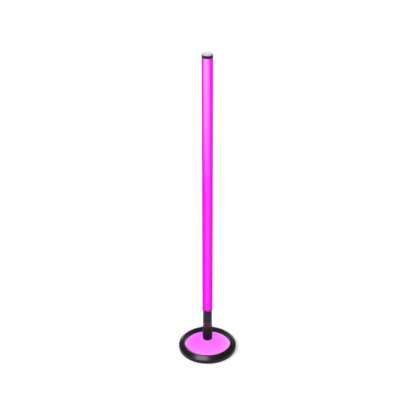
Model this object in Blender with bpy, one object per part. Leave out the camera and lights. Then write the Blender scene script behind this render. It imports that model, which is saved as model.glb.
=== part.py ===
"""Battery LED light tube that stands on a lit round base.

Metres, +Z up. The origin is on the floor under the middle of the base. -Y is the front, where the
display and the keys are, and +Y the back, where the base has its power button and charging socket.
"""

import math

import bmesh
import bpy
from mathutils import Matrix, Vector

# Driving dimensions
BASE_RADIUS = 0.110
BASE_EDGE_RADIUS = 0.1098
BASE_EDGE_Z = 0.0006
BASE_WALL_TOP_Z = 0.0137
BASE_CREST_Z = 0.0256
WELL_RADIUS = 0.0882
COLLAR_RADIUS = 0.0188
COLLAR_Z = 0.0398
COLLAR_TOP_Z = 0.0933
GRIP_RADIUS = 0.01695
TUBE_RADIUS = 0.01915
TUBE_Z = 0.1734
TUBE_TOP_Z = 1.1606
CAP_RIM_Z = 1.1695
TOTAL_HEIGHT = 1.1758

# Fits and walls
GAP = 0.0003
SLIP = 0.0004
SHELL_WALL = 0.0021
TUBE_WALL = 0.0018
BOARD = 0.0012
BLOCK_DRAFT = 0.00003

# Base
PLATE_Z = 0.0022
PLATE_THICKNESS = 0.0015
PLATE_TOP_Z = PLATE_Z + PLATE_THICKNESS
PLATE_RADIUS = 0.1062
INNER_FLOOR_Z = PLATE_TOP_Z + GAP
FOOT_RADIUS = 0.0085
FOOT_RING_RADIUS = 0.086
PLATE_SCREW_RADIUS = 0.0990
PLATE_SCREW_BEARINGS = (45, 135, 225, 315)
PLATE_SCREW_LENGTH = 0.0115
BOSS_RADIUS = 0.0036
BOSS_TOP_Z = 0.0186
DIFFUSER_EDGE_RADIUS = 0.0935
DIFFUSER_EDGE_Z = INNER_FLOOR_Z + 0.0012
DIFFUSER_WALL = 0.0015
DIFFUSER_TOP_RADIUS = 0.0205
WELL_FLOOR_Z = DIFFUSER_EDGE_Z + GAP
POST_RADIUS = 0.0160
POST_BORE_RADIUS = 0.0100
SOCKET_SCREW_RADIUS = 0.0130
SOCKET_SCREW_BEARINGS = (90, 210, 330)
SOCKET_SCREW_LENGTH = 0.0130
SOCKET_FLOOR_Z = 0.0500
SOCKET_FLOOR_THICKNESS = 0.0040
JACK_RADIUS = 0.0060
JACK_FLANGE_RADIUS = 0.0085
JACK_BORE_RADIUS = 0.0033
JACK_HEIGHT = 0.0120
BATTERY_SIZE = (0.0320, 0.0560, 0.0080)
BATTERY_OFFSET = 0.0340
SCREW_HEAD_RADIUS = 0.0029
SCREW_HEAD_HEIGHT = 0.0012
SCREW_SHANK_RADIUS = 0.0013
PILOT_RADIUS = SCREW_SHANK_RADIUS + GAP

# Inlet at the back of the base
INLET_Z = 0.0077
INLET_FACE_RADIUS = 0.1097
INLET_BOARD_RADII = (0.0942, 0.1034)
COVER_SIZE = (0.0134, 0.0012, 0.0070)
COVER_HINGE = (-0.0069, INLET_FACE_RADIUS, INLET_Z)
COVER_SUNK = 0.0009
BUTTON_BEARING = 76
BUTTON_RADIUS = 0.0032
BUTTON_TRAVEL = 0.0012
BUTTON_FACE_RADIUS = 0.1105
SWITCH_SIZE = 0.0058
SWITCH_FACE_RADIUS = 0.1034

# Handle
SPIGOT_RADIUS = 0.0152
SPIGOT_BORE_RADIUS = 0.0124
SPIGOT_Z = SOCKET_FLOOR_Z + 0.0006
PLUG_RADIUS = 0.0028
PLUG_HEAD_RADIUS = 0.0045
PANEL_Z = COLLAR_TOP_Z + GAP
PANEL_TOP_Z = 0.1255
PANEL_BORE_RADIUS = 0.0146
NECK_RADIUS = 0.0141
NECK_BORE_RADIUS = 0.0120
NECK_TOP_Z = 0.1400
GRIP_Z = PANEL_TOP_Z + GAP
GRIP_TOP_Z = 0.1685
GRIP_BORE_RADIUS = NECK_RADIUS + GAP
GRIP_FLUTES = 16
FLUTE_DEPTH = 0.0007
HANDLE_SCREW_HEIGHTS = (0.1325, 0.1620)
HANDLE_SCREW_BEARINGS = (0, 180)
HANDLE_SCREW_SEAT = 0.0152
HANDLE_SCREW_LENGTH = 0.0030
FERRULE_STUB_Z = 0.1520
BAND_RADIUS = 0.0166
FLANGE_RADIUS = 0.0189
FLANGE_THICKNESS = 0.0012
WINDOW_HALF_WIDTH = 0.0053
WINDOW_HALF_TURN = 17.0
WINDOW_Z = (0.0990, 0.1215)
KEY_BEARINGS = (-133, -47)
KEY_HEIGHTS = (0.1165, 0.1040)
KEY_RADIUS = 0.00225
KEY_FACE_RADIUS = 0.0174
KEY_TRAVEL = 0.0005
KEY_SWITCH_HEIGHT = 0.0009
SWITCH_BOARD_DISTANCE = 0.0100

# Light
TUBE_BORE_RADIUS = TUBE_RADIUS - TUBE_WALL
STUB_RADIUS = 0.0170
STUB_BORE_RADIUS = 0.0130
STUB_LENGTH = 0.0120
SEAL_RADIUS = 0.00065
LOWER_SEAL_RISE = 0.0070
UPPER_SEAL_DROP = 0.0060
CARRIER_HALF = 0.0080
CARRIER_WALL = 0.0015
CARRIER_Z = (0.1790, 1.1530)
STRIP_WIDTH = 0.0100
STRIP_LEDS = 12
STRIP_LED_HEIGHT = 0.0008
CAP_SEAT_DEPTH = 0.0017
CAP_LIP = 0.0018
CAP_GROOVES = 5
CAP_GROOVE_PITCH = 0.0065
RING_BOARD_RADII = (0.0670, 0.0770)
RING_BOARD_CELLS = 40
SEAL_STEPS = 5
REFLECTOR_RADIUS = 0.0630
REFLECTOR_DROP = 0.0046

# Facets round a full turn
LARGE_TURN = 56
MEDIUM_TURN = 28
SMALL_TURN = 12
TINY_TURN = 8
ARC_STEPS = 2


def clear_scene():
    for item in list(bpy.data.objects):
        bpy.data.objects.remove(item, do_unlink=True)


def make_material(name, colour, roughness, metallic=0.0, glow=None):
    material = bpy.data.materials.new(name)
    material.use_nodes = True
    shader = material.node_tree.nodes["Principled BSDF"]
    shader.inputs["Base Color"].default_value = (*colour, 1.0)
    shader.inputs["Roughness"].default_value = roughness
    shader.inputs["Metallic"].default_value = metallic
    if glow:
        shader.inputs["Emission Color"].default_value = (*glow, 1.0)
        shader.inputs["Emission Strength"].default_value = 1.0
    return material


def make_materials():
    return {
        "black_abs": make_material("black_abs", (0.025, 0.021, 0.026), 0.38),
        "grip": make_material("grip", (0.040, 0.032, 0.042), 0.55),
        "frosted": make_material("frosted", (0.90, 0.55, 0.90), 0.45, glow=(1.0, 0.08, 0.95)),
        "white_abs": make_material("white_abs", (0.85, 0.84, 0.86), 0.50),
        "grey_cap": make_material("grey_cap", (0.62, 0.58, 0.64), 0.40),
        "steel": make_material("steel", (0.45, 0.45, 0.47), 0.35, 1.0),
        "screw": make_material("screw", (0.08, 0.08, 0.09), 0.40, 1.0),
        "aluminium": make_material("aluminium", (0.75, 0.76, 0.78), 0.35, 1.0),
        "brass": make_material("brass", (0.78, 0.60, 0.28), 0.30, 1.0),
        "rubber": make_material("rubber", (0.030, 0.030, 0.032), 0.80),
        "board": make_material("board", (0.03, 0.16, 0.09), 0.50),
        "led_board": make_material("led_board", (0.86, 0.86, 0.82), 0.50),
        "battery": make_material("battery", (0.10, 0.22, 0.45), 0.45),
        "window": make_material("window", (0.05, 0.01, 0.02), 0.12),
        "display": make_material("display", (0.10, 0.02, 0.02), 0.40),
        "key": make_material("key", (0.20, 0.16, 0.20), 0.65),
    }


# Outlines


def rounded(*corners):
    """Points of a closed outline in the XZ plane. A corner is (x, z), or (x, z, radius) to round it."""
    points = []
    for index, corner in enumerate(corners):
        here = Vector(corner[:2])
        if len(corner) == 2:
            points.append(here)
            continue
        back = (Vector(corners[index - 1][:2]) - here).normalized()
        ahead = (Vector(corners[(index + 1) % len(corners)][:2]) - here).normalized()
        half = back.angle(ahead) / 2
        reach = corner[2] / math.tan(half)
        start, end = here + back * reach, here + ahead * reach
        centre = here + (back + ahead).normalized() * corner[2] / math.sin(half)
        sweep = (start - centre).angle_signed(end - centre)
        for step in range(ARC_STEPS + 1):
            turn = Matrix.Rotation(-sweep * step / ARC_STEPS, 2)
            points.append(centre + turn @ (start - centre))
    return points


# Meshes


def add_object(name, bm, material, sharp=35):
    """Closes the mesh with its faces pointing out and adds it to the scene, shaded smooth."""
    bmesh.ops.remove_doubles(bm, verts=bm.verts, dist=1e-7)
    bmesh.ops.recalc_face_normals(bm, faces=bm.faces)
    if bm.calc_volume(signed=True) < 0:
        bmesh.ops.reverse_faces(bm, faces=bm.faces)
    mesh = bpy.data.meshes.new(name)
    bm.to_mesh(mesh)
    bm.free()
    mesh.shade_smooth()
    mesh.set_sharp_from_angle(angle=math.radians(sharp))
    item = bpy.data.objects.new(name, mesh)
    if material:
        mesh.materials.append(material)
    bpy.context.scene.collection.objects.link(item)
    return item


def spun(points, steps, closed=True, start=0.0, sweep=360.0):
    """A mesh of the outline turned about Z. A chain that isn't closed starts and ends on the axis."""
    bm = bmesh.new()
    verts = [bm.verts.new((x, 0.0, z)) for x, z in points]
    pairs = list(zip(verts, verts[1:]))
    if closed:
        pairs.append((verts[-1], verts[0]))
    edges = [bm.edges.new(pair) for pair in pairs]
    whole = abs(sweep - 360.0) < 1e-6
    outline = edges if whole else [bm.faces.new(verts)]
    bmesh.ops.rotate(bm, verts=verts, cent=(0, 0, 0), matrix=Matrix.Rotation(math.radians(start), 3, "Z"))
    bmesh.ops.spin(
        bm,
        geom=[*verts, *edges] if whole else [*verts, *edges, *outline],
        cent=(0, 0, 0),
        axis=(0, 0, 1),
        angle=math.radians(sweep),
        steps=steps,
        use_merge=whole,
    )
    return bm


def turned(name, points, steps, material, **options):
    return add_object(name, spun(points, steps, **options), material)


def box_mesh(size, centre=(0, 0, 0)):
    bm = bmesh.new()
    bmesh.ops.create_cube(bm, size=1.0)
    bmesh.ops.scale(bm, vec=size, verts=bm.verts)
    bmesh.ops.translate(bm, vec=centre, verts=bm.verts)
    return bm


def bevel_along(bm, axis, offset, segments=2):
    """Rounds the four edges of a box that run along an axis."""
    along = [e for e in bm.edges if abs((e.verts[0].co - e.verts[1].co)[axis]) > 1e-6]
    bmesh.ops.bevel(bm, geom=along, offset=offset, segments=segments, profile=0.5, affect="EDGES")


def rod_mesh(radius, low, high, steps=SMALL_TURN):
    """A cylinder along Z, from low to high."""
    bm = bmesh.new()
    bmesh.ops.create_cone(
        bm, cap_ends=True, segments=steps, radius1=radius, radius2=radius, depth=high - low
    )
    bmesh.ops.translate(bm, vec=(0, 0, (low + high) / 2), verts=bm.verts)
    return bm


def radial(bearing, height, distance=0.0):
    """The transform that points local +Z outwards at a bearing from +X, at a height."""
    turn = Matrix.Rotation(math.radians(bearing), 4, "Z")
    return turn @ Matrix.Translation((distance, 0, height)) @ Matrix.Rotation(math.radians(90), 4, "Y")


def upright(bearing, distance, height=0.0):
    """The transform that stands a piece at a distance from the axis, turned to its bearing."""
    turn = Matrix.Rotation(math.radians(bearing), 4, "Z")
    return turn @ Matrix.Translation((distance, 0, height))


def cut(item, bm, transform=Matrix.Identity(4)):
    """Cuts a shape out of a piece."""
    combine(item, bm, transform, "DIFFERENCE")


def join(item, bm, transform=Matrix.Identity(4)):
    """Joins a shape to a piece."""
    combine(item, bm, transform, "UNION")


def combine(item, bm, transform, operation):
    tool = add_object(f"{item.name}_tool", bm, None)
    tool.matrix_world = transform
    tool.hide_render = True
    tool.display_type = "WIRE"
    step = item.modifiers.new(operation.lower(), "BOOLEAN")
    step.operation = operation
    step.solver = "EXACT"
    step.object = tool


def placed(item, transform):
    item.matrix_world = transform
    return item


def raised(bm, faces, margin, height):
    """Raises a smaller block on each face, such as a component on a board. Its sides lean in slightly."""
    bmesh.ops.inset_individual(bm, faces=faces, thickness=margin, depth=0.0)
    bmesh.ops.inset_individual(bm, faces=faces, thickness=BLOCK_DRAFT, depth=height)


def board_mesh(cells, size, parts, margin, height):
    """A flat board in the XY plane from z = 0 up, with a component on each cell that parts picks."""
    bm = bmesh.new()
    bmesh.ops.create_grid(bm, x_segments=cells[0], y_segments=cells[1], size=0.5)
    bmesh.ops.scale(bm, vec=(*size, 1), verts=bm.verts)
    centres = {face: face.calc_center_median() for face in bm.faces}
    ordered = sorted(bm.faces, key=lambda face: (round(centres[face].y, 6), centres[face].x))
    chosen = [face for index, face in enumerate(ordered) if parts(index)]
    lower = bmesh.ops.extrude_face_region(bm, geom=list(bm.faces), use_keep_orig=True)
    moved = [v for v in lower["geom"] if isinstance(v, bmesh.types.BMVert)]
    bmesh.ops.translate(bm, vec=(0, 0, -BOARD), verts=moved)
    bmesh.ops.translate(bm, vec=(0, 0, BOARD), verts=bm.verts)
    bmesh.ops.recalc_face_normals(bm, faces=bm.faces)
    raised(bm, chosen, margin, height)
    return bm


def quarter_turn(bm):
    """Turns a mesh 90 degrees about Z."""
    bmesh.ops.rotate(bm, verts=bm.verts, cent=(0, 0, 0), matrix=Matrix.Rotation(math.radians(90), 3, "Z"))


def screw(name, transform, length, material):
    """A pan-head screw along local Z: its head is above z = 0 and its shank below."""
    head, shank, drive = SCREW_HEAD_RADIUS, SCREW_SHANK_RADIUS, SCREW_HEAD_RADIUS * 0.42
    chain = [
        (0, SCREW_HEAD_HEIGHT * 0.45),
        (drive, SCREW_HEAD_HEIGHT * 0.45),
        (drive, SCREW_HEAD_HEIGHT),
        (head * 0.85, SCREW_HEAD_HEIGHT),
        (head, 0),
        (shank, 0),
        (shank, -length + shank),
        (0, -length),
    ]
    return placed(turned(name, chain, TINY_TURN, material, closed=False), transform)


def key(name, transform, radius, crown, flange, material):
    """A push button along local Z, from its back at z = 0 to its crown, with a flange that keeps it in."""
    flange_radius, flange_height = flange
    chain = [
        (0, crown),
        (radius * 0.72, crown),
        (radius, crown - radius * 0.2),
        (radius, flange_height),
        (flange_radius, flange_height),
        (flange_radius, 0),
        (0, 0),
    ]
    return placed(turned(name, chain, SMALL_TURN, material, closed=False), transform)


# Base


def shell_outline():
    return rounded(
        (BASE_EDGE_RADIUS, BASE_EDGE_Z),
        (BASE_RADIUS, BASE_WALL_TOP_Z, 0.0022),
        (0.0958, BASE_CREST_Z - 0.0006, 0.0060),
        (WELL_RADIUS, BASE_CREST_Z + 0.0006, 0.0030),
        (WELL_RADIUS, WELL_FLOOR_Z),
        (WELL_RADIUS + SHELL_WALL, WELL_FLOOR_Z),
        (WELL_RADIUS + SHELL_WALL, BASE_CREST_Z - 0.0034),
        (0.0948, BASE_CREST_Z - 0.0032),
        (BASE_RADIUS - 0.0022, BASE_WALL_TOP_Z - 0.0010),
        (BASE_EDGE_RADIUS - SHELL_WALL, BASE_EDGE_Z),
    )


def make_shell(mats):
    shell = turned("base_shell", shell_outline(), LARGE_TURN, mats["black_abs"])
    for bearing in PLATE_SCREW_BEARINGS:
        boss = rod_mesh(BOSS_RADIUS, INNER_FLOOR_Z, BOSS_TOP_Z)
        join(shell, boss, upright(bearing, PLATE_SCREW_RADIUS))
    for bearing in PLATE_SCREW_BEARINGS:
        pilot = rod_mesh(PILOT_RADIUS, 0, BOSS_TOP_Z - 0.0040, TINY_TURN)
        cut(shell, pilot, upright(bearing, PLATE_SCREW_RADIUS))
    width, _, height = COVER_SIZE
    recess_depth = 0.0040
    recess_y = INLET_FACE_RADIUS - COVER_SUNK - GAP + recess_depth / 2
    recess_size = (width + 2 * GAP, recess_depth, height + 2 * GAP)
    cut(shell, box_mesh(recess_size, (0, recess_y, INLET_Z)))
    socket_opening = (0.0096, 0.0100, 0.0038)
    cut(shell, box_mesh(socket_opening, (0, INLET_FACE_RADIUS, INLET_Z)))
    hole = rod_mesh(BUTTON_RADIUS + GAP, SWITCH_FACE_RADIUS - 0.0034, BASE_RADIUS + 0.0050)
    cut(shell, hole, radial(BUTTON_BEARING, INLET_Z))


def diffuser_slope(radius):
    """The height of the cone's upper face at a radius."""
    rim = WELL_RADIUS - GAP
    share = (rim - radius) / (rim - DIFFUSER_TOP_RADIUS)
    return DIFFUSER_EDGE_Z + share * (COLLAR_Z - GAP - DIFFUSER_EDGE_Z)


def make_diffuser(mats):
    seat_z = COLLAR_Z - GAP
    outline = rounded(
        (DIFFUSER_EDGE_RADIUS, INNER_FLOOR_Z),
        (DIFFUSER_EDGE_RADIUS, DIFFUSER_EDGE_Z),
        (WELL_RADIUS - GAP, DIFFUSER_EDGE_Z),
        (DIFFUSER_TOP_RADIUS, seat_z, 0.0040),
        (POST_RADIUS + SLIP, seat_z),
        (POST_RADIUS + SLIP, seat_z - DIFFUSER_WALL),
        (DIFFUSER_TOP_RADIUS - 0.0005, seat_z - DIFFUSER_WALL),
        (WELL_RADIUS - 0.0010, INNER_FLOOR_Z),
    )
    turned("base_diffuser", outline, LARGE_TURN, mats["frosted"])


def make_reflector(mats):
    wall = 0.0012
    inner, outer = POST_RADIUS + SLIP, REFLECTOR_RADIUS
    inner_top = diffuser_slope(inner) - REFLECTOR_DROP - 0.0030
    outer_top = diffuser_slope(outer) - REFLECTOR_DROP
    outline = [
        (outer, INNER_FLOOR_Z),
        (outer, outer_top),
        (inner, inner_top),
        (inner, inner_top - wall),
        (outer - wall, outer_top - wall),
        (outer - wall, INNER_FLOOR_Z),
    ]
    turned("base_reflector", outline, MEDIUM_TURN, mats["white_abs"])


def make_light_board(mats):
    inner, outer = RING_BOARD_RADII
    outline = [
        (inner, INNER_FLOOR_Z),
        (outer, INNER_FLOOR_Z),
        (outer, INNER_FLOOR_Z + BOARD),
        (inner, INNER_FLOOR_Z + BOARD),
    ]
    bm = spun(outline, RING_BOARD_CELLS)
    bmesh.ops.remove_doubles(bm, verts=bm.verts, dist=1e-7)
    bmesh.ops.recalc_face_normals(bm, faces=bm.faces)
    top = [f for f in bm.faces if f.normal.z > 0.9]
    top.sort(key=lambda f: math.atan2(f.calc_center_median().y, f.calc_center_median().x))
    raised(bm, top[::2], 0.0024, 0.0009)
    add_object("base_light_board", bm, mats["led_board"])


def make_plate(mats):
    bm = rod_mesh(PLATE_RADIUS, PLATE_Z, PLATE_TOP_Z, LARGE_TURN)
    plate = add_object("base_plate", bm, mats["steel"])
    rings = ((PLATE_SCREW_BEARINGS, PLATE_SCREW_RADIUS), (SOCKET_SCREW_BEARINGS, SOCKET_SCREW_RADIUS))
    for bearings, radius in rings:
        for bearing in bearings:
            hole = rod_mesh(PILOT_RADIUS, 0, PLATE_TOP_Z + PLATE_Z, TINY_TURN)
            cut(plate, hole, upright(bearing, radius))


def make_feet(mats):
    for index in range(4):
        chain = [
            (0, PLATE_Z - GAP),
            (FOOT_RADIUS, PLATE_Z - GAP),
            (FOOT_RADIUS, 0.0006),
            (FOOT_RADIUS - 0.0006, 0),
            (0, 0),
        ]
        foot = turned(f"base_foot_{index + 1}", chain, SMALL_TURN, mats["rubber"], closed=False)
        placed(foot, upright(90 * index, FOOT_RING_RADIUS))


def make_base_screws(mats):
    flip = Matrix.Rotation(math.radians(180), 4, "X")
    head_z = PLATE_Z - GAP
    for index, bearing in enumerate(PLATE_SCREW_BEARINGS):
        place = upright(bearing, PLATE_SCREW_RADIUS, head_z) @ flip
        screw(f"plate_screw_{index + 1}", place, PLATE_SCREW_LENGTH, mats["screw"])
    for index, bearing in enumerate(SOCKET_SCREW_BEARINGS):
        place = upright(bearing, SOCKET_SCREW_RADIUS, head_z) @ flip
        screw(f"socket_screw_{index + 1}", place, SOCKET_SCREW_LENGTH, mats["screw"])


def make_socket(mats):
    bore = SPIGOT_RADIUS + SLIP
    jack_hole = JACK_RADIUS + GAP
    floor_underside = SOCKET_FLOOR_Z - SOCKET_FLOOR_THICKNESS
    outline = rounded(
        (POST_RADIUS, INNER_FLOOR_Z),
        (POST_RADIUS, COLLAR_Z),
        (COLLAR_RADIUS, COLLAR_Z, 0.0022),
        (COLLAR_RADIUS, COLLAR_TOP_Z, 0.0010),
        (bore, COLLAR_TOP_Z),
        (bore, SOCKET_FLOOR_Z),
        (jack_hole, SOCKET_FLOOR_Z),
        (jack_hole, floor_underside),
        (POST_BORE_RADIUS, floor_underside),
        (POST_BORE_RADIUS, INNER_FLOOR_Z),
    )
    socket = turned("base_socket", outline, MEDIUM_TURN, mats["black_abs"])
    for bearing in SOCKET_SCREW_BEARINGS:
        pilot = rod_mesh(PILOT_RADIUS, 0, SOCKET_SCREW_LENGTH + 0.0035, TINY_TURN)
        cut(socket, pilot, upright(bearing, SOCKET_SCREW_RADIUS))


def make_jack(mats):
    flange_top = SOCKET_FLOOR_Z - SOCKET_FLOOR_THICKNESS - GAP
    flange_bottom = flange_top - 0.0030
    outline = [
        (JACK_FLANGE_RADIUS, flange_bottom),
        (JACK_FLANGE_RADIUS, flange_top),
        (JACK_RADIUS, flange_top),
        (JACK_RADIUS, SOCKET_FLOOR_Z + JACK_HEIGHT),
        (JACK_BORE_RADIUS, SOCKET_FLOOR_Z + JACK_HEIGHT),
        (JACK_BORE_RADIUS, flange_bottom),
    ]
    turned("socket_jack", outline, SMALL_TURN, mats["white_abs"])


def make_batteries(mats):
    height = BATTERY_SIZE[2]
    for name, side in (("left", -1), ("right", 1)):
        bm = box_mesh(BATTERY_SIZE, (side * BATTERY_OFFSET, 0, INNER_FLOOR_Z + height / 2))
        bevel_along(bm, 2, 0.0030)
        add_object(f"battery_pack_{name}", bm, mats["battery"])


def make_charger_board(mats):
    components = (1, 4, 6, 11)
    bm = board_mesh((4, 3), (0.0300, 0.0220), lambda index: index in components, 0.0012, 0.0022)
    charger = add_object("charger_board", bm, mats["board"])
    placed(charger, Matrix.Translation((0, 0.0300, INNER_FLOOR_Z)))


def make_inlet(mats):
    inner, outer = INLET_BOARD_RADII
    board_top = INNER_FLOOR_Z + BOARD
    board = [(inner, INNER_FLOOR_Z), (outer, INNER_FLOOR_Z), (outer, board_top), (inner, board_top)]
    turned("inlet_board", board, SMALL_TURN, mats["board"], start=71, sweep=25)
    switch_height = 0.0064
    switch_centre = (SWITCH_FACE_RADIUS - SWITCH_SIZE / 2, 0, board_top + GAP + switch_height / 2)
    body = box_mesh((SWITCH_SIZE, SWITCH_SIZE, switch_height), switch_centre)
    placed(add_object("power_switch", body, mats["white_abs"]), upright(BUTTON_BEARING, 0))
    make_charging_socket(mats)
    make_charging_cover(mats)
    back = SWITCH_FACE_RADIUS + BUTTON_TRAVEL + SLIP
    key(
        "power_button",
        radial(BUTTON_BEARING, INLET_Z, back),
        BUTTON_RADIUS,
        BUTTON_FACE_RADIUS - back,
        (BUTTON_RADIUS + 0.0007, 0.0009),
        mats["key"],
    )


def make_charging_socket(mats):
    """A shell with an open mouth towards the back and a contact tongue inside it."""
    bm = box_mesh((0.0088, 0.0074, 0.0030), (0, 0.1045, INLET_Z))
    bevel_along(bm, 1, 0.0013)
    mouth = max(bm.faces, key=lambda f: f.calc_center_median().y)
    bmesh.ops.inset_individual(bm, faces=[mouth], thickness=0.00035, depth=0.0)
    pushed = bmesh.ops.extrude_face_region(bm, geom=[mouth])
    floor = [v for v in pushed["geom"] if isinstance(v, bmesh.types.BMVert)]
    bmesh.ops.translate(bm, vec=(0, -0.0060, 0), verts=floor)
    bmesh.ops.delete(bm, geom=[mouth], context="FACES_ONLY")
    bottom = [f for f in pushed["geom"] if isinstance(f, bmesh.types.BMFace)]
    bmesh.ops.inset_individual(bm, faces=bottom, thickness=0.0007, depth=0.0)
    tongue = bmesh.ops.extrude_face_region(bm, geom=bottom)
    tip = [v for v in tongue["geom"] if isinstance(v, bmesh.types.BMVert)]
    bmesh.ops.translate(bm, vec=(0, 0.0048, 0), verts=tip)
    bmesh.ops.delete(bm, geom=bottom, context="FACES_ONLY")
    add_object("charging_socket", bm, mats["steel"])


def make_charging_cover(mats):
    """A rubber flap, hinged at its left end, with a plug on its inner side."""
    depth = COVER_SIZE[1]
    hinge = Vector(COVER_HINGE)
    centre = Vector((0, INLET_FACE_RADIUS - COVER_SUNK + depth / 2, INLET_Z)) - hinge
    bm = box_mesh(COVER_SIZE, centre)
    bevel_along(bm, 1, 0.0016)
    cover = add_object("charging_cover", bm, mats["rubber"])
    plug = box_mesh((0.0068, 0.0016, 0.0014), centre + Vector((0, -depth / 2 - 0.0002, 0)))
    placed(cover, Matrix.Translation(hinge))
    join(cover, plug, Matrix.Translation(hinge))


# Handle


def through_wall(radius, steps=SMALL_TURN):
    """A cutter for a hole from the handle's bore to outside its wall."""
    return rod_mesh(radius, 0.0100, 0.0200, steps)


def make_control_housing(mats):
    outline = rounded(
        (SPIGOT_RADIUS, SPIGOT_Z, 0.0010),
        (SPIGOT_RADIUS, PANEL_Z),
        (GRIP_RADIUS, PANEL_Z, 0.0005),
        (GRIP_RADIUS, PANEL_TOP_Z, 0.0005),
        (NECK_RADIUS, PANEL_TOP_Z),
        (NECK_RADIUS, NECK_TOP_Z),
        (NECK_BORE_RADIUS, NECK_TOP_Z),
        (NECK_BORE_RADIUS, PANEL_TOP_Z - 0.0002),
        (PANEL_BORE_RADIUS, PANEL_TOP_Z - 0.0033),
        (PANEL_BORE_RADIUS, PANEL_Z + 0.0034),
        (SPIGOT_BORE_RADIUS, PANEL_Z + 0.0008),
        (SPIGOT_BORE_RADIUS, SPIGOT_Z),
    )
    housing = turned("control_housing", outline, MEDIUM_TURN, mats["black_abs"])
    low, high = WINDOW_Z
    opening = box_mesh((2 * WINDOW_HALF_WIDTH, 0.0100, high - low), (0, -GRIP_RADIUS, (low + high) / 2))
    cut(housing, opening)
    for bearing in KEY_BEARINGS:
        for height in KEY_HEIGHTS:
            cut(housing, through_wall(KEY_RADIUS + SLIP), radial(bearing, height))
    for bearing in HANDLE_SCREW_BEARINGS:
        cut(housing, through_wall(PILOT_RADIUS, TINY_TURN), radial(bearing, HANDLE_SCREW_HEIGHTS[0]))


def make_panel(mats):
    """The display behind its window, and the four keys with the switch boards behind them."""
    low, high = WINDOW_Z
    inner, outer = PANEL_BORE_RADIUS + 0.0006, GRIP_RADIUS - 0.0001
    slab = [(inner, low + GAP), (outer, low + GAP), (outer, high - GAP), (inner, high - GAP)]
    start = -90 - WINDOW_HALF_TURN
    turned("display_window", slab, TINY_TURN, mats["window"], start=start, sweep=2 * WINDOW_HALF_TURN)
    screen = box_mesh((0.0084, 0.0090, high - low - 0.0016), (0, -0.0097, (low + high) / 2))
    add_object("display_module", screen, mats["display"])
    key_back = SWITCH_BOARD_DISTANCE + BOARD + KEY_SWITCH_HEIGHT + KEY_TRAVEL + SLIP
    number = 0
    for side, bearing in zip(("left", "right"), KEY_BEARINGS):
        for height in KEY_HEIGHTS:
            number += 1
            key(
                f"menu_button_{number}",
                radial(bearing, height, key_back),
                KEY_RADIUS,
                KEY_FACE_RADIUS - key_back,
                (KEY_RADIUS + 0.0008, 0.0008),
                mats["key"],
            )
        bm = board_mesh((1, 5), (0.0058, 0.0230), lambda index: index in (1, 4), 0.0011, KEY_SWITCH_HEIGHT)
        quarter_turn(bm)
        switches = add_object(f"switch_board_{side}", bm, mats["board"])
        placed(switches, radial(bearing, sum(KEY_HEIGHTS) / 2 - 0.0012, SWITCH_BOARD_DISTANCE))


def make_control_board(mats):
    components = (1, 6, 8, 13, 16, 22, 24)
    bm = board_mesh((3, 9), (0.0200, 0.0860), lambda index: index in components, 0.0014, 0.0020)
    control = add_object("control_board", bm, mats["board"])
    stand_up = Matrix.Rotation(math.radians(-90), 4, "X")
    placed(control, Matrix.Translation((0, -0.0030, 0.1200)) @ stand_up)


def make_plug(mats):
    holder_z = SPIGOT_Z + 0.0140
    holder_top = holder_z + 0.0030
    holder_radius = SPIGOT_BORE_RADIUS - GAP
    hole = PLUG_RADIUS + GAP
    holder = [
        (holder_radius, holder_z),
        (holder_radius, holder_top),
        (hole, holder_top),
        (hole, holder_z),
    ]
    turned("plug_holder", holder, MEDIUM_TURN, mats["white_abs"])
    tip = SPIGOT_Z - 0.0012
    chain = [
        (0, holder_top + 0.0030),
        (PLUG_HEAD_RADIUS, holder_top + 0.0030),
        (PLUG_HEAD_RADIUS, holder_top + GAP),
        (PLUG_RADIUS, holder_top + GAP),
        (PLUG_RADIUS, tip + PLUG_RADIUS / 2),
        (PLUG_RADIUS / 2, tip),
        (0, tip),
    ]
    turned("plug_pin", chain, SMALL_TURN, mats["brass"], closed=False)


def grip_rings():
    """The grip as rings of (radius, height, flute share), from the bottom bore round the outside."""
    ease, band = 0.0006, 0.0016
    return [
        (GRIP_BORE_RADIUS, GRIP_Z, 0),
        (GRIP_RADIUS - 0.0003, GRIP_Z, 0),
        (GRIP_RADIUS, GRIP_Z + ease / 2, 0),
        (GRIP_RADIUS, GRIP_Z + band, 0),
        (GRIP_RADIUS, GRIP_Z + band + ease, 1),
        (GRIP_RADIUS, GRIP_TOP_Z - band - ease, 1),
        (GRIP_RADIUS, GRIP_TOP_Z - band, 0),
        (GRIP_RADIUS, GRIP_TOP_Z - ease / 2, 0),
        (GRIP_RADIUS - 0.0003, GRIP_TOP_Z, 0),
        (GRIP_BORE_RADIUS, GRIP_TOP_Z, 0),
    ]


def make_grip(mats):
    """The ribbed grip: four points round each flute, two on the rib and two in the groove."""
    bm = bmesh.new()
    count = 4 * GRIP_FLUTES
    rings = []
    for radius, height, share in grip_rings():
        ring = []
        for index in range(count):
            depth = FLUTE_DEPTH * share if index % 4 in (2, 3) else 0.0
            angle = 2 * math.pi * (index + 0.5) / count
            across = radius - depth
            ring.append(bm.verts.new((across * math.cos(angle), across * math.sin(angle), height)))
        rings.append(ring)
    for lower, upper in zip(rings, rings[1:] + rings[:1]):
        for index in range(count):
            after = (index + 1) % count
            bm.faces.new((lower[index], lower[after], upper[after], upper[index]))
    grip = add_object("grip_sleeve", bm, mats["grip"], sharp=25)
    for height in HANDLE_SCREW_HEIGHTS:
        for bearing in HANDLE_SCREW_BEARINGS:
            counterbore = rod_mesh(SCREW_HEAD_RADIUS + GAP, HANDLE_SCREW_SEAT - GAP, 0.0200)
            cut(grip, counterbore, radial(bearing, height))
            cut(grip, through_wall(PILOT_RADIUS, TINY_TURN), radial(bearing, height))


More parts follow.
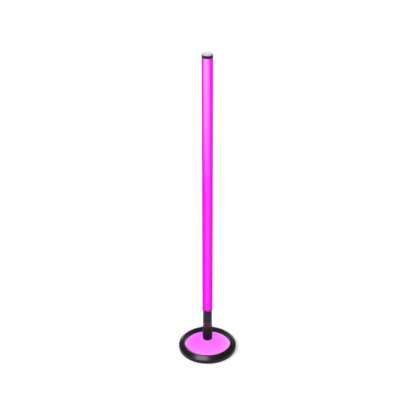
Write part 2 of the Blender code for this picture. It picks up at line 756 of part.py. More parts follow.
def make_handle_screws(mats):
    number = 0
    for height in HANDLE_SCREW_HEIGHTS:
        for bearing in HANDLE_SCREW_BEARINGS:
            number += 1
            place = radial(bearing, height, HANDLE_SCREW_SEAT)
            screw(f"handle_screw_{number}", place, HANDLE_SCREW_LENGTH, mats["screw"])


def make_ferrule(mats):
    seal_z = TUBE_Z + LOWER_SEAL_RISE
    groove = STUB_RADIUS - 2 * SEAL_RADIUS - GAP
    band_top = TUBE_Z - GAP - FLANGE_THICKNESS
    outline = rounded(
        (NECK_BORE_RADIUS, FERRULE_STUB_Z),
        (NECK_RADIUS, FERRULE_STUB_Z),
        (NECK_RADIUS, GRIP_TOP_Z + GAP),
        (BAND_RADIUS, GRIP_TOP_Z + GAP),
        (BAND_RADIUS, band_top),
        (FLANGE_RADIUS, band_top, 0.0003),
        (FLANGE_RADIUS, TUBE_Z - GAP, 0.0003),
        (STUB_RADIUS, TUBE_Z - GAP),
        (STUB_RADIUS, seal_z - SEAL_RADIUS - GAP),
        (groove, seal_z - SEAL_RADIUS - GAP),
        (groove, seal_z + SEAL_RADIUS + GAP),
        (STUB_RADIUS, seal_z + SEAL_RADIUS + GAP),
        (STUB_RADIUS, TUBE_Z + STUB_LENGTH),
        (STUB_BORE_RADIUS, TUBE_Z + STUB_LENGTH),
        (STUB_BORE_RADIUS, TUBE_Z + 0.0010),
        (NECK_BORE_RADIUS, TUBE_Z - 0.0010),
    )
    ferrule = turned("tube_ferrule", outline, MEDIUM_TURN, mats["black_abs"])
    for bearing in HANDLE_SCREW_BEARINGS:
        cut(ferrule, through_wall(PILOT_RADIUS, TINY_TURN), radial(bearing, HANDLE_SCREW_HEIGHTS[1]))


# Light


def make_diffuser_tube(mats):
    outline = [
        (TUBE_RADIUS, TUBE_Z),
        (TUBE_RADIUS, TUBE_TOP_Z),
        (TUBE_BORE_RADIUS, TUBE_TOP_Z),
        (TUBE_BORE_RADIUS, TUBE_Z),
    ]
    turned("diffuser_tube", outline, MEDIUM_TURN, mats["frosted"])


def seal_ring(name, height, mats):
    centre = STUB_RADIUS - SEAL_RADIUS + GAP / 3
    radius = SEAL_RADIUS * 0.9
    angles = [math.tau * step / SEAL_STEPS for step in range(SEAL_STEPS)]
    circle = [(centre + radius * math.cos(angle), height + radius * math.sin(angle)) for angle in angles]
    turned(name, circle, MEDIUM_TURN, mats["rubber"])


def make_carrier(mats):
    low, high = CARRIER_Z
    bore = CARRIER_HALF - CARRIER_WALL
    bm = box_mesh((2 * CARRIER_HALF, 2 * CARRIER_HALF, high - low), (0, 0, (low + high) / 2))
    bevel_along(bm, 2, 0.0012, segments=1)
    carrier = add_object("led_carrier", bm, mats["aluminium"])
    cut(carrier, box_mesh((2 * bore, 2 * bore, high - low + 0.01), (0, 0, (low + high) / 2)))


def make_strips(mats):
    """An LED board on each side of the carrier."""
    low, high = CARRIER_Z
    length = high - low - 0.020
    rows = 2 * STRIP_LEDS + 1
    for name, bearing in (("right", 0), ("back", 90), ("left", 180), ("front", 270)):
        size = (STRIP_WIDTH, length)
        bm = board_mesh((1, rows), size, lambda index: index % 2 == 1, 0.0026, STRIP_LED_HEIGHT)
        quarter_turn(bm)
        strip = add_object(f"led_strip_{name}", bm, mats["led_board"])
        placed(strip, radial(bearing, (low + high) / 2, CARRIER_HALF + GAP))


def carrier_plug(name, low, towards, mats):
    """A disc in the end of a stub, with a square peg that enters the carrier."""
    thickness = 0.0025
    bm = rod_mesh(STUB_BORE_RADIUS - GAP, low, low + thickness, MEDIUM_TURN)
    plug = add_object(name, bm, mats["white_abs"])
    peg = 2 * (CARRIER_HALF - CARRIER_WALL - GAP)
    centre = low + thickness / 2 + towards * 0.0050
    join(plug, box_mesh((peg, peg, 0.0090), (0, 0, centre)))


def carrier_spacer(name, height, mats):
    """A disc that centres the carrier in the tube, with a square hole round the carrier and its strips."""
    bm = rod_mesh(TUBE_BORE_RADIUS - GAP, height, height + 0.0020, MEDIUM_TURN)
    spacer = add_object(name, bm, mats["white_abs"])
    hole = 2 * (CARRIER_HALF + BOARD + STRIP_LED_HEIGHT + 3 * GAP)
    cut(spacer, box_mesh((hole, hole, 0.0100), (0, 0, height)))


def make_cap(mats):
    seal_z = TUBE_TOP_Z - UPPER_SEAL_DROP
    groove = STUB_RADIUS - 2 * SEAL_RADIUS - GAP
    plate_seat = CAP_RIM_Z - CAP_SEAT_DEPTH
    lip = TUBE_RADIUS - CAP_LIP
    stub_bottom = TUBE_TOP_Z - STUB_LENGTH
    outline = rounded(
        (STUB_RADIUS, stub_bottom),
        (STUB_RADIUS, seal_z - SEAL_RADIUS - GAP),
        (groove, seal_z - SEAL_RADIUS - GAP),
        (groove, seal_z + SEAL_RADIUS + GAP),
        (STUB_RADIUS, seal_z + SEAL_RADIUS + GAP),
        (STUB_RADIUS, TUBE_TOP_Z + GAP),
        (TUBE_RADIUS, TUBE_TOP_Z + GAP),
        (TUBE_RADIUS, CAP_RIM_Z, 0.0004),
        (lip, CAP_RIM_Z),
        (lip, plate_seat - GAP),
        (STUB_BORE_RADIUS, plate_seat - GAP),
        (STUB_BORE_RADIUS, stub_bottom),
    )
    turned("top_cap_ring", outline, MEDIUM_TURN, mats["black_abs"])
    make_cap_plate(plate_seat, mats)


def make_cap_plate(seat, mats):
    """The end plate: a raised lid with fins from front to back, and a plug that enters the ring."""
    edge = TUBE_RADIUS - CAP_LIP - GAP
    chamfer = 0.0005
    plug_radius = STUB_BORE_RADIUS - GAP
    plug_bottom = seat - 0.0060
    chain = [
        (0, TOTAL_HEIGHT),
        (edge - chamfer, TOTAL_HEIGHT),
        (edge, TOTAL_HEIGHT - chamfer),
        (edge, seat),
        (plug_radius, seat),
        (plug_radius, plug_bottom),
        (0, plug_bottom),
    ]
    plate = turned("top_cap_plate", chain, MEDIUM_TURN, mats["grey_cap"], closed=False)
    groove_size = (0.0015, 0.0600, 2 * (TOTAL_HEIGHT - CAP_RIM_Z - 0.0005))
    for index in range(CAP_GROOVES):
        across = (index - (CAP_GROOVES - 1) / 2) * CAP_GROOVE_PITCH
        cut(plate, box_mesh(groove_size, (across, 0, TOTAL_HEIGHT)))


# Assembly


TUBE_PREFIXES = (
    "control_",
    "plug_",
    "grip_",
    "tube_",
    "handle_",
    "display_",
    "menu_",
    "switch_board",
    "diffuser_tube",
    "led_",
    "carrier_",
    "seal_",
    "top_cap",
)


def make_tube_frame():
    """Parents everything that lifts out of the base to one empty on the tube's axis."""
    frame = bpy.data.objects.new("tube_frame", None)
    bpy.context.scene.collection.objects.link(frame)
    frame.location = (0, 0, SPIGOT_Z)
    for item in list(bpy.context.scene.objects):
        if item.type == "MESH" and item.name.startswith(TUBE_PREFIXES):
            item.parent = frame
            item.matrix_parent_inverse = Matrix.Translation((0, 0, -SPIGOT_Z))


def main():
    clear_scene()
    mats = make_materials()
    for make in (
        make_shell,
        make_diffuser,
        make_reflector,
        make_light_board,
        make_plate,
        make_feet,
        make_base_screws,
        make_socket,
        make_jack,
        make_batteries,
        make_charger_board,
        make_inlet,
        make_control_housing,
        make_panel,
        make_control_board,
        make_plug,
        make_grip,
        make_handle_screws,
        make_ferrule,
        make_diffuser_tube,
        make_carrier,
        make_strips,
        make_cap,
    ):
        make(mats)
    seal_ring("seal_ring_lower", TUBE_Z + LOWER_SEAL_RISE, mats)
    seal_ring("seal_ring_upper", TUBE_TOP_Z - UPPER_SEAL_DROP, mats)
    carrier_plug("carrier_plug_lower", TUBE_Z + 0.0018, 1, mats)
    carrier_plug("carrier_plug_upper", CARRIER_Z[1] + GAP, -1, mats)
    length = CARRIER_Z[1] - CARRIER_Z[0]
    carrier_spacer("carrier_spacer_1", CARRIER_Z[0] + length / 3, mats)
    carrier_spacer("carrier_spacer_2", CARRIER_Z[0] + length * 2 / 3, mats)
    make_tube_frame()


main()
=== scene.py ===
"""The looks of a battery LED light tube on a lit round base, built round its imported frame.

Metres, +Z up. -Y is the front, where the display and the keys are.
"""

import math

import bmesh
import bpy
from mathutils import Matrix, Vector


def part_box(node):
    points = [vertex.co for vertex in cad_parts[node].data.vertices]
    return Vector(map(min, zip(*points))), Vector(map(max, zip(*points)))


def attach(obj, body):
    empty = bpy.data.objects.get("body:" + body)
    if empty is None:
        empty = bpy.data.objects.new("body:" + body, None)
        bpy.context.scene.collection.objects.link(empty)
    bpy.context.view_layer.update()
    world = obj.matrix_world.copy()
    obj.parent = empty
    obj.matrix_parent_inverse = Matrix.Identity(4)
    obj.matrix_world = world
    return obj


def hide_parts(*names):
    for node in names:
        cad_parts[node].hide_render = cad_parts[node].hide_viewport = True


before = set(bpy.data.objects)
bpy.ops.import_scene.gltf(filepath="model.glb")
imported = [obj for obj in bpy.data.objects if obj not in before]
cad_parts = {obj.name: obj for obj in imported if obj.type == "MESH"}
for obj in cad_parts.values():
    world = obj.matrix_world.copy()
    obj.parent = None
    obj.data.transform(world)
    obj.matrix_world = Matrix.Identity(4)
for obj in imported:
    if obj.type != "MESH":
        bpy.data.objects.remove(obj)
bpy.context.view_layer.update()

# Colours, as linear RGB
BLACK = (0.0075, 0.0055, 0.0075)
PANEL_BLACK = (0.028, 0.0150, 0.0235)
GRIP_BLACK = (0.024, 0.0135, 0.0270)
SCREW_BLACK = (0.035, 0.034, 0.037)
PALE_GREY = (0.66, 0.61, 0.675)
KEY_GREY = (0.15, 0.115, 0.14)
RUBBER_BLACK = (0.016, 0.016, 0.018)

# Facets round a full turn
WIDE_TURN = 256
TUBE_TURN = 128
SMALL_TURN = 64
TINY_TURN = 32

# The gap between pieces that meet, and the usual rounding of an edge
SEAM = 0.0003
EDGE = 0.00018

# Nearly all of a noise's values lie between these
NOISE_LOW, NOISE_HIGH = 0.3, 0.7


# Frame

def low(node):
    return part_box(node)[0]


def high(node):
    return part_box(node)[1]


def middle(node):
    return (low(node) + high(node)) / 2


# Meshes

def rounded(*corners, steps=6):
    """Points of a closed outline in the XZ plane. A corner is (x, z), or (x, z, radius) to round it."""
    points = []
    for index, corner in enumerate(corners):
        here = Vector(corner[:2])
        if len(corner) == 2:
            points.append(here)
            continue
        back = (Vector(corners[index - 1][:2]) - here).normalized()
        ahead = (Vector(corners[(index + 1) % len(corners)][:2]) - here).normalized()
        half = back.angle(ahead) / 2
        reach = corner[2] / math.tan(half)
        start, end = here + back * reach, here + ahead * reach
        centre = here + (back + ahead).normalized() * corner[2] / math.sin(half)
        sweep = (start - centre).angle_signed(end - centre)
        for step in range(steps + 1):
            points.append(centre + Matrix.Rotation(-sweep * step / steps, 2) @ (start - centre))
    return points


def finish_mesh(name, bm, sharp=32):
    """Closes a mesh with its faces pointing out and adds it to the scene, shaded smooth."""
    bmesh.ops.remove_doubles(bm, verts=bm.verts, dist=1e-7)
    bmesh.ops.recalc_face_normals(bm, faces=bm.faces)
    if bm.calc_volume(signed=True) < 0:
        bmesh.ops.reverse_faces(bm, faces=bm.faces)
    mesh = bpy.data.meshes.new(name)
    bm.to_mesh(mesh)
    bm.free()
    mesh.shade_smooth()
    mesh.set_sharp_from_angle(angle=math.radians(sharp))
    item = bpy.data.objects.new(name, mesh)
    bpy.context.scene.collection.objects.link(item)
    return item


def lathe_mesh(points, steps, closed=True, start=0.0, sweep=360.0):
    """A mesh of the outline turned about Z. A chain that isn't closed starts and ends on the axis."""
    bm = bmesh.new()
    verts = [bm.verts.new((x, 0.0, z)) for x, z in points]
    pairs = list(zip(verts, verts[1:]))
    if closed:
        pairs.append((verts[-1], verts[0]))
    edges = [bm.edges.new(pair) for pair in pairs]
    whole = abs(sweep - 360.0) < 1e-6
    geometry = [*verts, *edges] if whole else [*verts, *edges, bm.faces.new(verts)]
    bmesh.ops.rotate(bm, verts=verts, cent=(0, 0, 0), matrix=Matrix.Rotation(math.radians(start), 3, "Z"))
    bmesh.ops.spin(
        bm,
        geom=geometry,
        cent=(0, 0, 0),
        axis=(0, 0, 1),
        angle=math.radians(sweep),
        steps=steps,
        use_merge=whole,
    )
    return bm


def lathe(name, points, steps, **options):
    return finish_mesh(name, lathe_mesh(points, steps, **options))


def dished_face(reach, z, dip, steps=5):
    """The start of a chain on the axis: a face at z that dips in its middle, out to a reach."""
    chain = [(0, z - dip)]
    for step in range(1, steps + 1):
        share = step / steps
        chain.append((reach * share, z - dip * (1 - share * share)))
    return chain


def slab_mesh(width, height, corner, near, far, steps=6):
    """A rounded rectangle in the XY plane, as a solid from z = near to z = far."""
    x, y = width / 2, height / 2
    outline = rounded((x, -y, corner), (x, y, corner), (-x, y, corner), (-x, -y, corner), steps=steps)
    bm = bmesh.new()
    face = bm.faces.new([bm.verts.new((p.x, p.y, near)) for p in outline])
    made = bmesh.ops.extrude_face_region(bm, geom=[face])
    top = [v for v in made["geom"] if isinstance(v, bmesh.types.BMVert)]
    bmesh.ops.translate(bm, vec=(0, 0, far - near), verts=top)
    return bm


def rod_mesh(radius, near, far, steps=SMALL_TURN, far_radius=None):
    """A cylinder or cone along Z, from z = near to z = far."""
    bm = bmesh.new()
    end = radius if far_radius is None else far_radius
    bmesh.ops.create_cone(
        bm, cap_ends=True, segments=steps, radius1=radius, radius2=end, depth=far - near
    )
    bmesh.ops.translate(bm, vec=(0, 0, (near + far) / 2), verts=bm.verts)
    return bm


def radial(bearing, height, distance=0.0):
    """The transform that points local +Z outwards at a bearing from +X, at a height."""
    turn = Matrix.Rotation(math.radians(bearing), 4, "Z")
    return turn @ Matrix.Translation((distance, 0, height)) @ Matrix.Rotation(math.radians(90), 4, "Y")


def facing(bearing, height, distance=0.0):
    """As radial, with local +Y up and local +X along the surface."""
    return radial(bearing, height, distance) @ Matrix.Rotation(math.radians(90), 4, "Z")


def applied(item):
    """Applies a piece's modifiers to its mesh."""
    graph = bpy.context.evaluated_depsgraph_get()
    item.data = bpy.data.meshes.new_from_object(item.evaluated_get(graph), depsgraph=graph)
    item.modifiers.clear()
    return item


def carve(item, shapes, operation="DIFFERENCE"):
    """Cuts shapes out of a piece, or keeps what they share. A shape is a mesh with its transform."""
    tools = []
    for bm, transform in shapes:
        tool = finish_mesh("tool", bm)
        tool.matrix_world = transform
        step = item.modifiers.new("carve", "BOOLEAN")
        step.operation = operation
        step.solver = "EXACT"
        step.object = tool
        tools.append(tool)
    bpy.context.view_layer.update()
    applied(item)
    for tool in tools:
        bpy.data.objects.remove(tool, do_unlink=True)
    item.data.shade_smooth()
    item.data.set_sharp_from_angle(angle=math.radians(32))
    return item


def soften(item, width=EDGE, segments=2, angle=32):
    """Rounds a piece's sharp edges."""
    step = item.modifiers.new("soften", "BEVEL")
    step.width = width
    step.segments = segments
    step.limit_method = "ANGLE"
    step.angle_limit = math.radians(angle)
    step.use_clamp_overlap = True
    step.harden_normals = True
    return applied(item)


def dress(item, body, finish, slot, *nodes):
    """Gives a piece its finish, and says which body carries it and which CAD nodes it stands for."""
    item.data.materials.clear()
    item.data.materials.append(finish)
    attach(item, body)
    if nodes:
        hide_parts(*nodes)


# Finishes

class Finish:
    """A Principled material whose colour, roughness and bump are built from nodes over object coordinates."""

    def __init__(self, name, **constants):
        self.material = bpy.data.materials.new(name)
        self.material.use_nodes = True
        self.tree = self.material.node_tree
        self.shader = self.tree.nodes["Principled BSDF"]
        self.place = self.node("TexCoord").outputs["Object"]
        for socket, value in constants.items():
            self.shader.inputs[socket.replace("_", " ").title().replace("Ior", "IOR")].default_value = value

    def node(self, kind, inputs=None, **settings):
        node = self.tree.nodes.new("ShaderNode" + kind)
        for key, value in settings.items():
            setattr(node, key, value)
        for key, value in (inputs or {}).items():
            self.plug(node.inputs[key], value)
        return node

    def plug(self, socket, value):
        if isinstance(value, bpy.types.NodeSocket):
            self.tree.links.new(value, socket)
        else:
            socket.default_value = value

    def feed(self, name, value):
        self.plug(self.shader.inputs[name], value)

    def calc(self, operation, first, second=0.0, clamp=False):
        node = self.node("Math", {0: first, 1: second}, operation=operation, use_clamp=clamp)
        return node.outputs[0]

    def axis(self, name):
        return self.node("SeparateXYZ", {0: self.place}).outputs[name]

    def noise(self, scale, detail=2.0, stretch=(1, 1, 1)):
        """Noise with about scale features to a metre, from 0 to 1."""
        place = self.node("VectorMath", {0: self.place, 1: stretch}, operation="MULTIPLY").outputs[0]
        return self.node("TexNoise", {"Vector": place, "Scale": scale, "Detail": detail}).outputs[0]

    def spread(self, value, from_low, from_high, to_low, to_high):
        """Maps a value from one range to another, held at the ends."""
        inputs = {1: from_low, 2: from_high, 3: to_low, 4: to_high}
        return self.node("MapRange", {0: value, **inputs}, clamp=True).outputs[0]

    def ramp(self, value, *stops, ease="LINEAR"):
        """A colour along a value from 0 to 1, through stops of (place, colour)."""
        node = self.node("ValToRGB", {0: value})
        node.color_ramp.interpolation = ease
        elements = node.color_ramp.elements
        while len(elements) < len(stops):
            elements.new(0.5)
        for element, (place, colour) in zip(elements, stops):
            element.position = place
            element.color = (*colour, 1.0)
        return node.outputs[0]

    def mix(self, factor, first, second):
        node = self.node("Mix", data_type="RGBA")
        for index, value in ((0, factor), (6, first), (7, second)):
            if isinstance(value, tuple):
                value = (*value, 1.0)
            self.plug(node.inputs[index], value)
        return node.outputs[2]

    def shade(self, colour, amount, scale, detail=3.0):
        """The colour with darker and lighter patches, some scale of them to a metre."""
        dark = tuple(part * (1 - amount) for part in colour)
        light = tuple(min(1.0, part * (1 + amount)) for part in colour)
        return self.ramp(self.noise(scale, detail), (NOISE_LOW, dark), (NOISE_HIGH, light))

    def gloss(self, noise, smooth, rough):
        """Roughness that follows a noise from one value to another."""
        self.feed("Roughness", self.spread(noise, NOISE_LOW, NOISE_HIGH, smooth, rough))

    def above(self, direction, level):
        """1 past a level along a direction, and 0 before it."""
        along = self.node("VectorMath", {0: self.place, 1: direction}, operation="DOT_PRODUCT")
        return self.spread(along.outputs["Value"], level, level + 0.00005, 0.0, 1.0)

    def relief(self, *layers):
        """Bump from layers of (height, depth in metres), each on the last."""
        normal = None
        for height, depth in layers:
            inputs = {"Height": height, "Distance": depth, "Strength": 1.0}
            if normal is not None:
                inputs["Normal"] = normal
            normal = self.node("Bump", inputs).outputs[0]
        self.feed("Normal", normal)


def moulded(name, colour, roughness, grain=0.000012, specular=0.5):
    """Moulded plastic: a fine even grain, slow changes of gloss and a faint unevenness of the surface."""
    finish = Finish(name, ior=1.46, specular_ior_level=specular)
    finish.feed("Base Color", finish.shade(colour, 0.14, 45))
    finish.gloss(finish.noise(160, 4), roughness - 0.025, roughness + 0.035)
    finish.relief((finish.noise(14, 1), 0.00010), (finish.noise(2600, 2), grain))
    return finish.material


def lit_tube():
    """Frosted plastic lit from inside: a soft bright band over each of the four strips, paler near the top as
    a painted highlight, and a pale painted highlight on the front-left of the upper part.

    The frosted skin is a grey coat, which takes more of the light where it is seen at a slant.
    """
    finish = Finish(
        "lit_tube",
        ior=1.45,
        specular_ior_level=0.02,
        emission_strength=1.5,
        coat_weight=1.0,
        coat_ior=1.03,
        coat_roughness=0.4,
        coat_tint=(0.70, 0.70, 0.70, 1.0),
    )
    bottom, top = low("diffuser_tube").z, high("diffuser_tube").z
    share = finish.spread(finish.axis("Z"), bottom, top, 0.0, 1.0)
    # Both ramps grow paler towards the top, most over the strips: a painted highlight
    between = finish.ramp(
        share,
        (0.0, (0.18, 0.002, 0.155)),
        (0.004, (0.49, 0.002, 0.45)),
        (0.012, (0.83, 0.002, 0.81)),
        (0.60, (0.83, 0.002, 0.81)),
        (0.98, (0.83, 0.006, 0.81)),
        (1.0, (0.67, 0.004, 0.67)),
    )
    band = finish.ramp(
        share,
        (0.0, (0.18, 0.002, 0.155)),
        (0.004, (0.57, 0.006, 0.52)),
        (0.012, (0.92, 0.034, 0.92)),
        (0.50, (0.92, 0.052, 0.92)),
        (0.64, (0.92, 0.085, 0.92)),
        (0.80, (0.92, 0.125, 0.92)),
        (0.99, (0.92, 0.155, 0.94)),
        (1.0, (0.78, 0.080, 0.78)),
    )
    # A painted highlight: the glow turns pale within 30 degrees of a bearing on the front-left, more so
    # towards the top
    strips, first_strip, painted_highlight_side = 4, math.radians(-92), math.radians(-109)
    bearing = finish.calc("ARCTAN2", finish.axis("Y"), finish.axis("X"))
    turns = finish.calc("MULTIPLY", finish.calc("SUBTRACT", bearing, first_strip), strips)
    patches = finish.spread(finish.noise(26, 3, (1, 1, 0.25)), NOISE_LOW, NOISE_HIGH, -1.0, 1.0)
    cloud = finish.calc("MULTIPLY", patches, 0.12)
    lobe = finish.spread(finish.calc("ADD", finish.calc("COSINE", turns), cloud), -0.9, 0.7, 0.0, 1.0)
    offset = finish.calc("COSINE", finish.calc("SUBTRACT", bearing, painted_highlight_side))
    near_painted_highlight = finish.spread(offset, 0.866, 1.0, 0.0, 1.0)
    painted_highlight = finish.calc("MULTIPLY", near_painted_highlight, finish.spread(share, 0.55, 0.95, 0.0, 0.42))
    glow = finish.mix(lobe, between, band)
    finish.feed("Emission Color", finish.mix(painted_highlight, glow, (0.92, 0.60, 0.96)))
    finish.feed("Base Color", finish.shade((0.26, 0.005, 0.26), 0.05, 60))
    finish.gloss(finish.noise(700, 3), 0.38, 0.48)
    finish.relief((finish.noise(9, 1), 0.0002), (finish.noise(3200, 2), 0.000010))
    return finish.material


def lit_cone():
    """Frosted plastic lit from below, paler at its outer edge and, as a painted highlight, towards +X, with a
    soft spot over each light.
    """
    finish = Finish("lit_cone", ior=1.45, specular_ior_level=0.4, emission_strength=1.0)
    x, y = finish.axis("X"), finish.axis("Y")
    squares = finish.calc("ADD", finish.calc("MULTIPLY", x, x), finish.calc("MULTIPLY", y, y))
    radius = finish.calc("SQRT", squares)
    share = finish.spread(radius, 0.0, high("base_diffuser").x, 0.0, 1.0)
    glow = finish.ramp(
        share,
        (0.10, (0.62, 0.085, 0.66)),
        (0.20, (0.66, 0.075, 0.72)),
        (0.34, (0.64, 0.050, 0.72)),
        (0.58, (0.64, 0.062, 0.72)),
        (0.80, (0.68, 0.12, 0.72)),
        (0.93, (0.70, 0.34, 0.72)),
        (0.97, (0.54, 0.20, 0.56)),
        ease="EASE",
    )
    # Paler towards the right-hand side, +X: a painted highlight
    painted_right_highlight = finish.spread(x, -0.010, 0.075, 0.0, 0.18)
    glow = finish.mix(painted_right_highlight, glow, (0.96, 0.60, 0.88))
    lights, spot_reach = 20, 0.010
    light_circle = high("base_light_board").x - 0.005
    bearing = finish.calc("ARCTAN2", y, x)
    ripple = finish.calc("COSINE", finish.calc("MULTIPLY", bearing, lights))
    distance = finish.calc("ABSOLUTE", finish.calc("SUBTRACT", radius, light_circle))
    near = finish.calc("SUBTRACT", 1.0, finish.calc("DIVIDE", distance, spot_reach), clamp=True)
    spot = finish.calc("MULTIPLY", finish.spread(ripple, 0.1, 1.0, 0.0, 0.10), near)
    finish.feed("Emission Color", finish.mix(spot, glow, (0.80, 0.36, 0.84)))
    finish.feed("Base Color", finish.shade((0.34, 0.06, 0.36), 0.05, 60))
    finish.gloss(finish.noise(500, 3), 0.43, 0.47)
    finish.relief((finish.noise(18, 1), 0.0002), (finish.noise(3200, 2), 0.000005))
    return finish.material


def brushed(name, colour, roughness, stretch=(1, 1, 0.04), metallic=1.0):
    """Metal with fine lines along one direction."""
    finish = Finish(name, metallic=metallic)
    lines = finish.noise(2200, 3, stretch)
    finish.feed("Base Color", finish.shade(colour, 0.08, 120))
    finish.gloss(lines, roughness - 0.07, roughness + 0.09)
    finish.relief((lines, 0.000008))
    return finish.material


def powder_coat(name, colour):
    """Powder-coated sheet: an orange-peel surface with a fine sparkle in its gloss."""
    finish = Finish(name, ior=1.5)
    finish.feed("Base Color", finish.shade(colour, 0.12, 80))
    finish.gloss(finish.noise(900, 3), 0.42, 0.58)
    finish.relief((finish.noise(650, 2), 0.00004))
    return finish.material


def rubber(name, colour, roughness=0.78):
    """Rubber: matt, with a fine dull grain and paler rubbed patches."""
    finish = Finish(name, ior=1.5)
    finish.feed("Base Color", finish.shade(colour, 0.2, 240, 4))
    finish.gloss(finish.noise(600, 3), roughness - 0.08, roughness + 0.08)
    finish.relief((finish.noise(1800, 3), 0.00002))
    return finish.material


def smoked_window():
    """A smoked window: the display shows through it."""
    finish = Finish("smoked_window", ior=1.49, alpha=0.42)
    finish.feed("Base Color", finish.shade((0.035, 0.004, 0.010), 0.15, 90))
    finish.gloss(finish.noise(300, 3), 0.06, 0.12)
    return finish.material


def digits_finish():
    """Lit red segments, a little brighter in patches."""
    finish = Finish("lit_segments", emission_strength=1.0)
    finish.feed("Base Color", finish.shade((0.5, 0.03, 0.04), 0.1, 500))
    finish.feed("Emission Color", finish.shade((0.85, 0.05, 0.12), 0.12, 700))
    finish.gloss(finish.noise(900), 0.35, 0.5)
    return finish.material


def display_block():
    """The dark red block behind the window."""
    finish = Finish("display_block", ior=1.5)
    finish.feed("Base Color", finish.shade((0.050, 0.011, 0.013), 0.08, 260))
    finish.gloss(finish.noise(300), 0.34, 0.40)
    finish.relief((finish.noise(260, 1), 0.000008))
    return finish.material


def circuit_board(name, direction, level):
    """A green board with a pattern of tracks, and dark parts on it above a level along a direction."""
    finish = Finish(name, ior=1.5)
    cells = finish.node("TexVoronoi", {"Vector": finish.place, "Scale": 420.0}, distance="CHEBYCHEV")
    tracks = finish.spread(cells.outputs[0], 0.42, 0.46, 0.0, 1.0)
    board = finish.mix(tracks, (0.012, 0.10, 0.045), (0.030, 0.19, 0.085))
    parts = finish.shade((0.022, 0.022, 0.024), 0.2, 300)
    finish.feed("Base Color", finish.mix(finish.above(direction, level), board, parts))
    finish.gloss(finish.noise(800, 3), 0.36, 0.52)
    finish.relief((tracks, 0.00003))
    return finish.material


def light_board(name, direction, level):
    """A white board with yellow light packages on it above a level along a direction."""
    finish = Finish(name, ior=1.5)
    board = finish.shade((0.80, 0.80, 0.78), 0.04, 200)
    finish.feed("Base Color", finish.mix(finish.above(direction, level), board, (0.78, 0.62, 0.16)))
    finish.gloss(finish.noise(800, 3), 0.36, 0.5)
    finish.relief((finish.noise(1500, 2), 0.00002))
    return finish.material


def battery_wrap():
    """Shrink wrap: glossy, pulled into long shallow wrinkles."""
    finish = Finish("battery_wrap", ior=1.5)
    wrinkles = finish.noise(180, 3, stretch=(1, 0.15, 1))
    finish.feed("Base Color", finish.shade((0.02, 0.07, 0.26), 0.12, 90))
    finish.gloss(wrinkles, 0.22, 0.36)
    finish.relief((wrinkles, 0.00025))
    return finish.material


FINISHES = {
    "shell": moulded("satin_black_plastic", BLACK, 0.27, specular=0.25),
    "collar": moulded("collar_black_plastic", BLACK, 0.36, specular=0.2),
    "panel": moulded("panel_black_plastic", PANEL_BLACK, 0.44, grain=0.00002, specular=0.3),
    "grip": moulded("grip_black_plastic", GRIP_BLACK, 0.52, grain=0.00003, specular=0.25),
    "cap": moulded("pale_grey_plastic", PALE_GREY, 0.36, grain=0.00001),
    "white": moulded("white_plastic", (0.78, 0.77, 0.79), 0.42),
    "key": rubber("key_rubber", KEY_GREY, 0.55),
    "rubber": rubber("black_rubber", RUBBER_BLACK),
    "tube": lit_tube(),
    "cone": lit_cone(),
    "plate": powder_coat("powder_coated_steel", (0.022, 0.022, 0.024)),
    "screw": brushed("blackened_steel", SCREW_BLACK, 0.36, stretch=(1, 1, 1)),
    "steel": brushed("bare_steel", (0.55, 0.55, 0.57), 0.28, stretch=(1, 0.05, 1)),
    "aluminium": brushed("drawn_aluminium", (0.74, 0.75, 0.77), 0.34),
    "brass": brushed("turned_brass", (0.72, 0.52, 0.20), 0.26, stretch=(0.05, 0.05, 1)),
    "window": smoked_window(),
    "digits": digits_finish(),
    "display": display_block(),
    "battery": battery_wrap(),
}


# Base

SHELL_LOW, SHELL_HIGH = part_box("base_shell")
WALL_TOP_Z = 0.0137
SLOPE_END = 0.0142
CREST_Z = 0.0256
SHELL_WALL = 0.0021
WELL_RADIUS = 0.0882
INLET_Z = middle("charging_cover").z
BUTTON_BEARING = math.degrees(math.atan2(middle("power_button").y, middle("power_button").x))
COVER_WIDTH = high("charging_cover").x - low("charging_cover").x
COVER_HEIGHT = high("charging_cover").z - low("charging_cover").z
BUTTON_RADIUS = 0.0032
# The transform that faces the back at the inlet's height
BACK = Matrix.Rotation(math.radians(180), 4, "Z") @ facing(-90, INLET_Z)


def ring_outline():
    """The ring's section: outer wall, sloped top, crest and the wall of the well, then back inside."""
    radius, edge_z = SHELL_HIGH.x, SHELL_LOW.z
    well_floor = 0.0055
    return rounded(
        (radius - 0.0002, edge_z, 0.0003),
        (radius, WALL_TOP_Z, 0.0022),
        (radius - SLOPE_END, CREST_Z - 0.0006, 0.0060),
        (WELL_RADIUS, CREST_Z + 0.0006, 0.0030),
        (WELL_RADIUS, well_floor, 0.0003),
        (WELL_RADIUS + SHELL_WALL, well_floor, 0.0003),
        (WELL_RADIUS + SHELL_WALL, CREST_Z - 0.0034, 0.0006),
        (radius - 0.0152, CREST_Z - 0.0032, 0.0010),
        (radius - 0.0022, WALL_TOP_Z - 0.0010, 0.0006),
        (radius - 0.0002 - SHELL_WALL, edge_z, 0.0003),
        steps=8,
    )


def make_ring():
    """The ring, with the recess and the mouth of the charging socket and the power button's dished hole."""
    ring = lathe("base_ring", ring_outline(), WIDE_TURN)
    inside, recess_floor, dish_floor, outside = 0.1000, 0.1085, 0.1090, 0.1150
    recess = slab_mesh(COVER_WIDTH + 0.0003, COVER_HEIGHT + 0.0006, 0.0018, recess_floor, 0.1125)
    mouth = slab_mesh(0.0096, 0.0038, 0.0012, 0.1020, 0.1100)
    hole = rod_mesh(BUTTON_RADIUS + SEAM, inside, outside)
    dish = rod_mesh(BUTTON_RADIUS + 0.0003, dish_floor, 0.1110, far_radius=BUTTON_RADIUS + 0.0022)
    button = radial(BUTTON_BEARING, INLET_Z)
    carve(ring, [(recess, BACK), (mouth, BACK), (hole, button), (dish, button)])
    soften(ring, 0.00012)
    dress(ring, "base", FINISHES["shell"], "black_shell", "base_shell")


